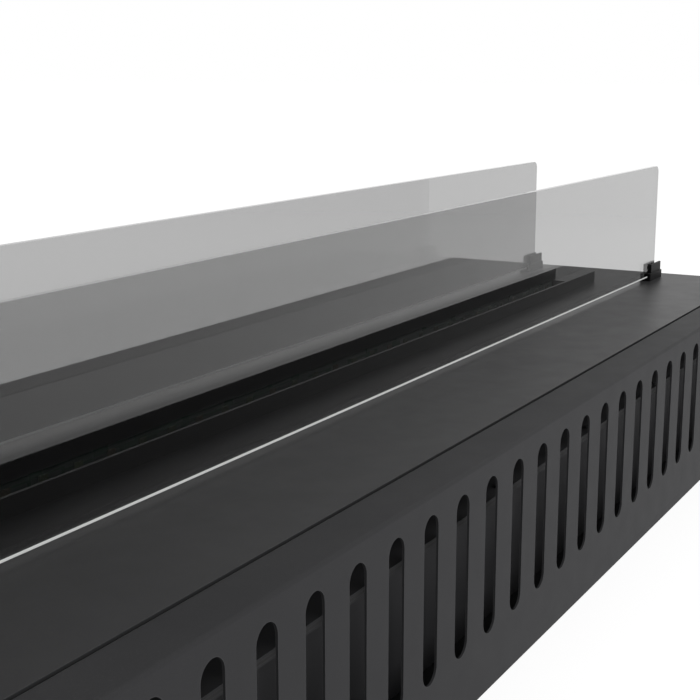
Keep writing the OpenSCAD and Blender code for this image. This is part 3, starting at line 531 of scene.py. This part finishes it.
def grind_pane(pane, half_thick):
    """Rounds the four corners, breaks the outline and parts a band off along it, front and rear; at
    the front foot that band takes the painted highlight.
    """
    bpy.ops.object.mode_set(mode="EDIT")
    bpy.ops.mesh.select_mode(type="EDGE")
    select_edges(pane, lambda middle, along: abs(along.y) > ACROSS)
    bpy.ops.mesh.bevel(offset=PANE_CORNER, segments=CORNER_STEPS, affect="EDGES")
    select_edges(pane, lambda middle, along: abs(abs(middle.y) - half_thick) < TOUCHING)
    bpy.ops.mesh.bevel(offset=PANE_ARRIS, segments=1, affect="EDGES")
    bpy.ops.mesh.select_mode(type="FACE")
    select_faces(pane, lambda normal: abs(normal.y) > ACROSS)
    bpy.ops.mesh.inset(thickness=HIGHLIGHT_BAND)
    bpy.ops.object.mode_set(mode="OBJECT")


def glass_pane(node):
    """A polished pane in a node's place, with a pale matt band along its foot in front, painted there
    as a highlight.
    """
    low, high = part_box(node)
    pane = add_block(low, high)
    grind_pane(pane, (high.y - low.y) / 2)
    bpy.ops.object.transform_apply(location=True, rotation=True, scale=True)
    bpy.ops.object.shade_smooth_by_angle(angle=SMOOTH_BELOW)
    pane.data.materials.append(FINISHES["clear_glass"])
    pane.data.materials.append(FOOT_HIGHLIGHT)
    # The band and arris at the front foot get the pale painted highlight
    for face in pane.data.polygons:
        if face.center.z < low.z + HIGHLIGHT_BAND and face.normal.y < TO_FRONT:
            face.material_index = 1
    return pane


def copy_pane(pane, node, other_node):
    """Copies the pane in one node's place to another's, with a mesh of its own."""
    deselect_all()
    pane.select_set(True)
    bpy.ops.object.duplicate()
    copy = bpy.context.selected_objects[0]
    copy.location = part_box(other_node)[0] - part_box(node)[0]
    bpy.ops.object.transform_apply(location=True, rotation=True, scale=True)
    return copy


def hang_pane(pane, name, node, body):
    """Lets a pane stand for its node and move with its body."""
    pane.name = name
    pane.data.name = name
    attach(pane, body)
    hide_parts(node)


# Studio

# The photograph's viewpoint, in metres and degrees, with lens and sensor in millimetres
CAMERA_PLACE = (-0.755, -0.4206, 0.3182)
CAMERA_TURN = (78.118, 0.0, -60.569)
CAMERA_LENS = 68.19
CAMERA_SENSOR = 36.0
NEAREST_SEEN = 10 * MM

# One large soft lamp in front, in metres and watts
KEY_PLACE = (-0.4, -2.6, 1.6)
KEY_TARGET = (0, 0, 0.1)
KEY_WIDTH = 2.4
KEY_HEIGHT = 1.6
KEY_POWER = 60

WHITE = (1, 1, 1, 1)
DOME_LIGHT = 0.5

FLOOR_SIZE = 60.0
FLOOR_Z = -0.5 * MM
FLOOR_TONE = (0.85, 0.85, 0.85, 1)
# Between these distances a white glow takes over from the lit surface, which has the shadow
FLOOR_FADE = (0.9, 2.2)
GLOW_SHARE = (0.55, 1.0)
GLOW_STRENGTH = (1.35, 1.02)


def aim_camera():
    turn = [math.radians(angle) for angle in CAMERA_TURN]
    deselect_all()
    bpy.ops.object.camera_add(location=CAMERA_PLACE, rotation=turn)
    camera = bpy.context.object
    camera.name = "camera"
    camera.data.lens = CAMERA_LENS
    camera.data.sensor_width = CAMERA_SENSOR
    camera.data.clip_start = NEAREST_SEEN
    bpy.context.scene.camera = camera


def hang_key_light():
    deselect_all()
    bpy.ops.object.light_add(type="AREA", location=KEY_PLACE)
    lamp = bpy.context.object
    lamp.name = "key"
    lamp.data.shape = "RECTANGLE"
    lamp.data.size = KEY_WIDTH
    lamp.data.size_y = KEY_HEIGHT
    lamp.data.energy = KEY_POWER
    aim = Vector(KEY_TARGET) - Vector(KEY_PLACE)
    lamp.rotation_euler = aim.to_track_quat("-Z", "Y").to_euler()
    lamp.visible_camera = False
    lamp.visible_transmission = False


def seen_directly(tree):
    """1 for what the camera sees, mirrored or through glass too, and 0 for what lights the object."""
    path = add_node(tree, "ShaderNodeLightPath").outputs
    mirrored = calculate(tree, "MAXIMUM", path["Is Glossy Ray"], path["Is Transmission Ray"])
    looked_at = calculate(tree, "MAXIMUM", path["Is Camera Ray"], mirrored)
    unscattered = calculate(tree, "LESS_THAN", path["Diffuse Depth"], 1.0)
    return calculate(tree, "MULTIPLY", looked_at, unscattered)


def light_world():
    """A white background, and an even dome of light on the object."""
    world = bpy.data.worlds.new("studio")
    bpy.context.scene.world = world
    world.use_nodes = True
    tree = world.node_tree
    background = tree.nodes["Background"]
    feed(tree, background.inputs["Color"], WHITE)
    strength = remap(tree, seen_directly(tree), SHARE, (DOME_LIGHT, 1.0))
    link(tree, strength, background.inputs["Strength"])


def floor_material():
    """Pale floor that reads as white and keeps the object's soft shadow."""
    material = bpy.data.materials.new("Pale floor")
    material.use_nodes = True
    tree = material.node_tree
    tree.nodes.clear()
    distance = add_node(tree, "ShaderNodeVectorMath", operation="LENGTH")
    link(tree, object_place(tree), distance.inputs[0])
    share = remap(tree, distance.outputs["Value"], FLOOR_FADE, GLOW_SHARE)
    strength = remap(tree, distance.outputs["Value"], FLOOR_FADE, GLOW_STRENGTH)
    lit = add_node(tree, "ShaderNodeBsdfDiffuse")
    feed(tree, lit.inputs["Color"], FLOOR_TONE)
    glow = add_node(tree, "ShaderNodeEmission")
    feed(tree, glow.inputs["Color"], WHITE)
    feed(tree, glow.inputs["Strength"], strength)
    mixed = add_node(tree, "ShaderNodeMixShader")
    feed(tree, mixed.inputs["Fac"], calculate(tree, "MULTIPLY", seen_directly(tree), share))
    link(tree, lit.outputs["BSDF"], mixed.inputs[1])
    link(tree, glow.outputs["Emission"], mixed.inputs[2])
    surface = add_node(tree, "ShaderNodeOutputMaterial").inputs["Surface"]
    link(tree, mixed.outputs["Shader"], surface)
    return material


def lay_floor():
    deselect_all()
    bpy.ops.mesh.primitive_plane_add(size=FLOOR_SIZE, location=(0, 0, FLOOR_Z))
    floor = bpy.context.object
    floor.name = "floor"
    floor.data.materials.append(floor_material())


# Scene

bpy.context.scene.view_settings.view_transform = "Standard"
aim_camera()
light_world()
hang_key_light()
lay_floor()
dress_frame()
front_pane = glass_pane("glass_front")
rear_pane = copy_pane(front_pane, "glass_front", "glass_rear")
hang_pane(front_pane, "front_pane", "glass_front", "front_screen")
hang_pane(rear_pane, "rear_pane", "glass_rear", "rear_screen")
